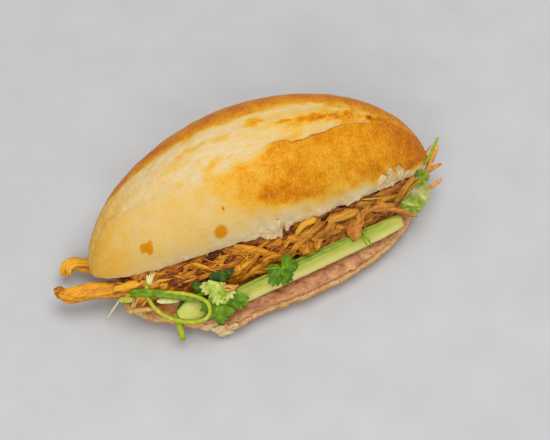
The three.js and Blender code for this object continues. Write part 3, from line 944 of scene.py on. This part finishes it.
carrot = pickled("pickled_carrot", "c4761c", "da9230", "ecb75c")
daikon = pickled("pickled_daikon", "c9c27c", "ddd79c", "ece7bd")
stained_daikon = pickled("pickled_daikon_in_sauce", "a8762a", "c2983c", "d4b65c")
stick_rod, shred_rod = rod(8, 6), rod(5, 6)
PICKLE_FACE = Vector((0.1, -0.5, 0.85))  # the way one flat side of each stick and shred faces


def stick(node, path, width, material):
    """The cut stick that stands for one of the CAD's pickle sticks."""
    shape = new_strands()
    bent_rod(
        shape, stick_rod, vectors(path), width, width, PICKLE_FACE, 0.5, 0.3, square=True,
        ends=(0.6, 0.6),
    )
    finish_piece(shape, node + "_cut", material, [node])


stick("carrot_stick_1", [(114, -9, 15), (123, -1.5, 27.5), (132, 6, 38)], 3.2, carrot)
stick("carrot_stick_2", [(112, -1, 14.5), (123, 0, 19), (134, 1, 22)], 3.4, carrot)
stick("carrot_stick_3", [(113, -14, 14.5), (121.5, -11.5, 17.5), (130, -9, 18.5)], 3.0, carrot)
stick("daikon_stick", [(-79, -33, 19.3), (-90, -30, 19.6), (-101, -26.5, 17.2)], 3.0, stained_daikon)


def loose_shreds(name, material, paths, width):
    """Fine shreds of pickle, all in one piece."""
    shape = new_strands()
    for path in paths:
        bent_rod(shape, shred_rod, vectors(path), width, width * 0.6, PICKLE_FACE, 0.5, 0.4)
    finish_piece(shape, name, material)


CARROT_SHREDS = [
    [(112, 2, 22), (122, 6, 31), (129, 9, 36)],
    [(110, -5, 20), (120, -2, 26), (126, 4, 30)],
    [(-41, -42.5, 37), (-36, -43, 37), (-30.5, -44.5, 35)],
    [(-39, -41, 37), (-36, -43.5, 37), (-33, -45.5, 35)],
    [(-40, -44, 36), (-35, -45, 35.5), (-30, -43, 35)],
    [(-92.5, -21.5, 23), (-95, -24, 20.5), (-97, -26.5, 18)],
    [(-85.5, -25.5, 23), (-89, -27, 20.5), (-91.5, -28, 18)],
]
DAIKON_SHREDS = [
    [(-102, -18, 20), (-108, -19, 12), (-113, -19.5, 4)],
    [(-88, -20, 22), (-93, -23, 19), (-97, -27, 14)],
    [(-104, -18, 19), (-98, -18, 21), (-92, -19, 22)],
]
loose_shreds("carrot_shreds", carrot, CARROT_SHREDS, 1.8)
loose_shreds("daikon_shreds", daikon, DAIKON_SHREDS, 1.5)


# ---- greens ----

def fresh_green(name, deep, body, light, rib):
    """Fresh herb or stem: thin, waxy and a little see-through, darker along its body and pale at its ribs."""
    material, tree, shader = new_material(
        name, 0.42, Subsurface_Weight=0.15, Subsurface_Scale=0.002, Specular_IOR_Level=0.22
    )
    shader.inputs["Subsurface Radius"].default_value = (0.6, 1.0, 0.2)
    tone = add(tree, "Attribute", "Fac", attribute_name="tone")
    uneven = add(tree, "MapRange", "Result", [grain(tree, 3.0), 0.3, 0.7, -0.18, 0.18])
    shade = add(tree, "Math", "Value", [tone, uneven], operation="ADD")
    colour = add(tree, "ValToRGB", "Color", [shade], [(0.0, deep), (1.0, rib), (0.33, body), (0.66, light)])
    tree.links.new(colour, shader.inputs["Base Color"])
    relief = add(tree, "Bump", "Normal", {"Height": grain(tree, 1.2), "Distance": 0.25 * MM, "Strength": 0.5})
    tree.links.new(relief, shader.inputs["Normal"])
    return material


herb_green = fresh_green("coriander_leaf", "2c4c04", "547c08", "86a41c", "c8cc6a")
stem_green = fresh_green("spring_onion", "4f7408", "869c10", "b0b626", "e4dfa0")
lettuce_green = fresh_green("lettuce", "64801a", "93a83a", "bcc070", "e6e2c0")

long_rod = rod(8, 26)


def stems():
    """Spring onion: the loop and strips at the left, and the blades over the cucumber and the right end."""
    shape = new_strands()
    loop = [
        (-80, -16.5, 33), (-83, -19, 31.5), (-85, -24, 29.5), (-85, -29.5, 25.5), (-82, -36.5, 22.5),
        (-76.5, -43, 21), (-68, -49, 21), (-59, -52.5, 22.5), (-53.5, -52, 25), (-51.5, -49, 28),
        (-52, -45, 30), (-56, -41, 31.5), (-61.5, -36.5, 32), (-69.5, -32, 32), (-76, -28.5, 31.5),
    ]
    bent_rod(shape, long_rod, vectors(loop), 2.7, 2.1, UP_FRONT, 0.6, 0.2, ends=(0.9, 0.5))
    dark_strip = [
        (-95, -20, 27.5), (-87, -24, 30), (-77, -29.5, 31), (-67, -35, 30.5), (-57.5, -39.5, 29.5),
        (-52, -43, 28),
    ]
    bent_rod(shape, long_rod, vectors(dark_strip), 5.4, 1.2, UP_FRONT, 0.16, 0.4, ends=(0.8, 0.3))
    stub = [(-72, -39, 18), (-72, -47, 15), (-72.5, -54, 8)]
    bent_rod(shape, stick_rod, vectors(stub), 4.2, 2.2, UP_FRONT, 0.6, 0.3, ends=(0.6, 0.8))
    pale_strip = [(-81, -30.5, 25.5), (-74, -33, 26.5), (-67, -35.5, 26.5)]
    bent_rod(shape, stick_rod, vectors(pale_strip), 4.4, 1.6, UP_FRONT, 0.95, 0.4)
    end_strip = [(-103, -18, 20.5), (-98, -20, 21), (-93, -22, 21.5)]
    bent_rod(shape, stick_rod, vectors(end_strip), 4.0, 1.6, UP_FRONT, 0.7, 0.4)
    inner_strip = [(-64, -36, 26), (-56, -38, 28), (-47, -37, 29)]
    bent_rod(shape, stick_rod, vectors(inner_strip), 3.0, 1.4, UP_FRONT, 0.2, 0.4)
    for spread in (-1.6, -0.6, 0.5, 1.5):
        tuft = [(-82 + spread * 0.4, -22, 33.5), (-81 + spread, -19.5, 36), (-79 + spread * 1.7, -17, 38)]
        bent_rod(shape, shred_rod, vectors(tuft), 1.3, 0.9, UP_FRONT, 1.0, 0.3)
    for shift in (0.0, 2.6):
        cross = [(56 + shift, -30, 32), (57.5 + shift, -37, 31.5), (60 + shift, -44, 27)]
        bent_rod(shape, shred_rod, vectors(cross), 1.5, 1.0, UP_FRONT, 0.35, 0.3)
    end_blade = [(114, 0, 26), (122, 1, 31), (128, 5, 36), (133, 9, 43)]
    bent_rod(shape, long_rod, vectors(end_blade), 2.4, 1.6, UP_FRONT, 0.45, 0.3)
    finish_piece(shape, "spring_onion", stem_green)


LEAF_TEETH = 22


def herb_leaf(master, centre, radius, towards, up, tone, pale_rim, rng):
    """Adds a fan-shaped leaf: its outline has deep lobes and small teeth, and it narrows to its stalk."""
    leaf = bmesh.new()
    tone_layer = leaf.verts.layers.float.new("tone")
    bmesh.ops.create_uvsphere(leaf, u_segments=4 * LEAF_TEETH, v_segments=14, radius=1.0)
    ahead = (towards - up * towards.dot(up)).normalized()
    side = ahead.cross(up)
    swirl = rng.uniform(0, 6)
    for vert in leaf.verts:
        share = min(math.hypot(vert.co.x, vert.co.y), 1.0)
        turn = math.atan2(vert.co.y, vert.co.x)
        lobe = abs(math.cos(2.7 * turn + 0.25 * math.sin(swirl))) ** 0.5
        tooth = abs(math.sin(turn * LEAF_TEETH / 2)) ** 1.3
        stalk_side = smooth_step(abs(turn), 1.25, 2.4)
        fan = (1 - 0.84 * stalk_side) * (1 + 0.12 * math.sin(2 * turn + swirl))
        reach = mix(0.85 * fan, (0.68 + 0.32 * lobe) * (0.88 + 0.16 * tooth) * fan, share**3)
        flat = Vector((math.cos(turn), math.sin(turn))) * share * reach * radius
        droop = 0.22 * share**2 * radius * max(math.cos(turn), 0)
        ruffle = radius * share**2 * (0.04 * math.sin(3 * turn + swirl) + 0.035 * math.sin(7 * turn + swirl))
        rib = 1 - smooth_step(abs(math.sin(2.7 * turn)), 0.0, 0.16)
        groove = 0.02 * radius * rib * share
        thin = 0.22 * vert.co.z
        vert.co = centre + ahead * flat.x + side * flat.y + up * (ruffle - droop - groove + thin)
        shade = tone + 0.28 * rib * (1 - 0.7 * share) + pale_rim * smooth_step(share, 0.75, 1)
        vert[tone_layer] = shade + 0.12 * lumps(vert.co, 4, 2, swirl)
    append(master, leaf)


def coriander():
    """Coriander: each leaf's middle, reach, direction, face, tone and how pale its rim is."""
    rng = random.Random(12)
    shape = new_strands()
    leaves = [
        ((-42.6, -38.6, 36.1), 12.5, (-0.55, -1, -0.3), (-0.15, -0.42, 0.9), 0.76, 0.35),
        ((-42, -45.5, 30), 15.5, (-0.05, -1, -0.7), (-0.15, -0.65, 0.75), 0.36, 0.0),
        ((-42, -46.5, 29.5), 10.5, (0.75, -0.8, -0.4), (0.1, -0.65, 0.75), 0.46, 0.0),
        ((-45, -50, 26.5), 11.0, (-0.4, -1, -0.6), (-0.3, -0.65, 0.7), 0.42, 0.0),
        ((0.5, -41, 34), 12.5, (0.3, -1, -0.6), (0.0, -0.62, 0.78), 0.3, 0.0),
        ((1, -41.5, 34.5), 9.5, (1.0, -0.35, -0.1), (0.05, -0.6, 0.8), 0.36, 0.0),
        ((-0.5, -41, 33.5), 9.5, (-0.8, -0.75, -0.4), (-0.15, -0.55, 0.82), 0.36, 0.0),
        ((-37.5, -29.5, 35.5), 9.0, (0.1, -1, 0), (-0.1, -0.4, 0.9), 0.0, 0.0),
        ((-37, -31, 35.5), 8.0, (0.9, -0.5, 0), (0.1, -0.4, 0.9), 0.05, 0.0),
        ((-38, -31, 35), 7.5, (-0.9, -0.4, 0), (-0.2, -0.4, 0.9), 0.03, 0.0),
        ((-50, -34, 30), 8.5, (-0.7, -0.7, 0), (-0.1, -0.5, 0.85), 0.1, 0.0),
    ]
    for centre, radius, towards, up, tone, pale_rim in leaves:
        upwards = Vector(up).normalized()
        herb_leaf(shape, Vector(centre), radius, Vector(towards), upwards, tone, pale_rim, rng)
    stalk = [(-11, -37.5, 33), (-6, -39.5, 34.5), (0.5, -41.8, 34.6)]
    bent_rod(shape, rod(6, 6), vectors(stalk), 1.2, 1.2, UP_FRONT, 0.6, 0.2)
    finish_piece(shape, "coriander", herb_green)


def frilled_leaf(master, centre, length, width, turn, lean, curl, tone, seed):
    """Adds a torn leaf with a frilled edge: a thin rounded body, ribbed, and ruffled towards its rim."""
    leaf = bmesh.new()
    tone_layer = leaf.verts.layers.float.new("tone")
    bmesh.ops.create_uvsphere(leaf, u_segments=64, v_segments=24, radius=1.0)
    pose = Matrix.Translation(centre) @ Matrix.Rotation(turn, 4, "Z") @ Matrix.Rotation(lean, 4, "X")
    for vert in leaf.verts:
        u, v, w = vert.co
        rim = min(math.hypot(u, v), 1.0)
        torn = 1 + 0.16 * noise.noise(Vector((u * 3, v * 3, seed))) * rim
        ribs = 0.7 * math.sin(5.2 * v + 1.6 * u + seed) + 0.3 * math.sin(11 * v - 2 * u + seed * 2)
        frill = 1.3 * rim**3 * math.sin(9 * math.atan2(v, u) + seed)
        height = curl * abs(u) ** 3 + ribs * 0.6 + frill + 0.3 * w
        vert.co = pose @ Vector((length / 2 * u * torn, width / 2 * v * torn, height))
        wavy = 0.08 * math.sin(5.2 * v + 1.6 * u + seed)
        vert[tone_layer] = tone + wavy + 0.18 * lumps(Vector((u, v, 0)) * 8, 3, 2, seed)
    append(master, leaf)


def lettuce():
    """The pale leaf at the right end, and the two brighter curls beside it."""
    shape = new_strands()
    frilled_leaf(shape, Vector((107, -15, 23.2)), 19, 23, math.radians(-24), math.radians(24), 5, 0.6, 1.0)
    finish_piece(shape, "lettuce", lettuce_green, ["lettuce_leaf"])
    curls = new_strands()
    frilled_leaf(curls, Vector((112.5, -9.5, 32)), 12, 10, math.radians(-30), math.radians(30), 2.5, 0.2, 4.0)
    frilled_leaf(curls, Vector((99, -26, 28)), 15, 10, math.radians(-30), math.radians(35), 2.5, 0.3, 7.0)
    finish_piece(curls, "green_curls", lettuce_green)


stems()
coriander()
lettuce()


# ---- floor ----

floor_shape = bmesh.new()
bmesh.ops.create_grid(floor_shape, x_segments=1, y_segments=1, size=3.0)
floor_mesh = bpy.data.meshes.new("floor")
floor_shape.to_mesh(floor_mesh)
floor_shape.free()
floor_piece = bpy.data.objects.new("floor", floor_mesh)
scene.collection.objects.link(floor_piece)
floor_material, floor_tree, floor_shader = new_material("matt_pale_floor", 0.8)
mottling = grain(floor_tree, 40.0, 6.0)
mottled = add(floor_tree, "ValToRGB", "Color", [mottling], [(0.3, "b9b9b9"), (0.7, "c0c0c0")])
floor_tree.links.new(mottled, floor_shader.inputs["Base Color"])
floor_mesh.materials.append(floor_material)
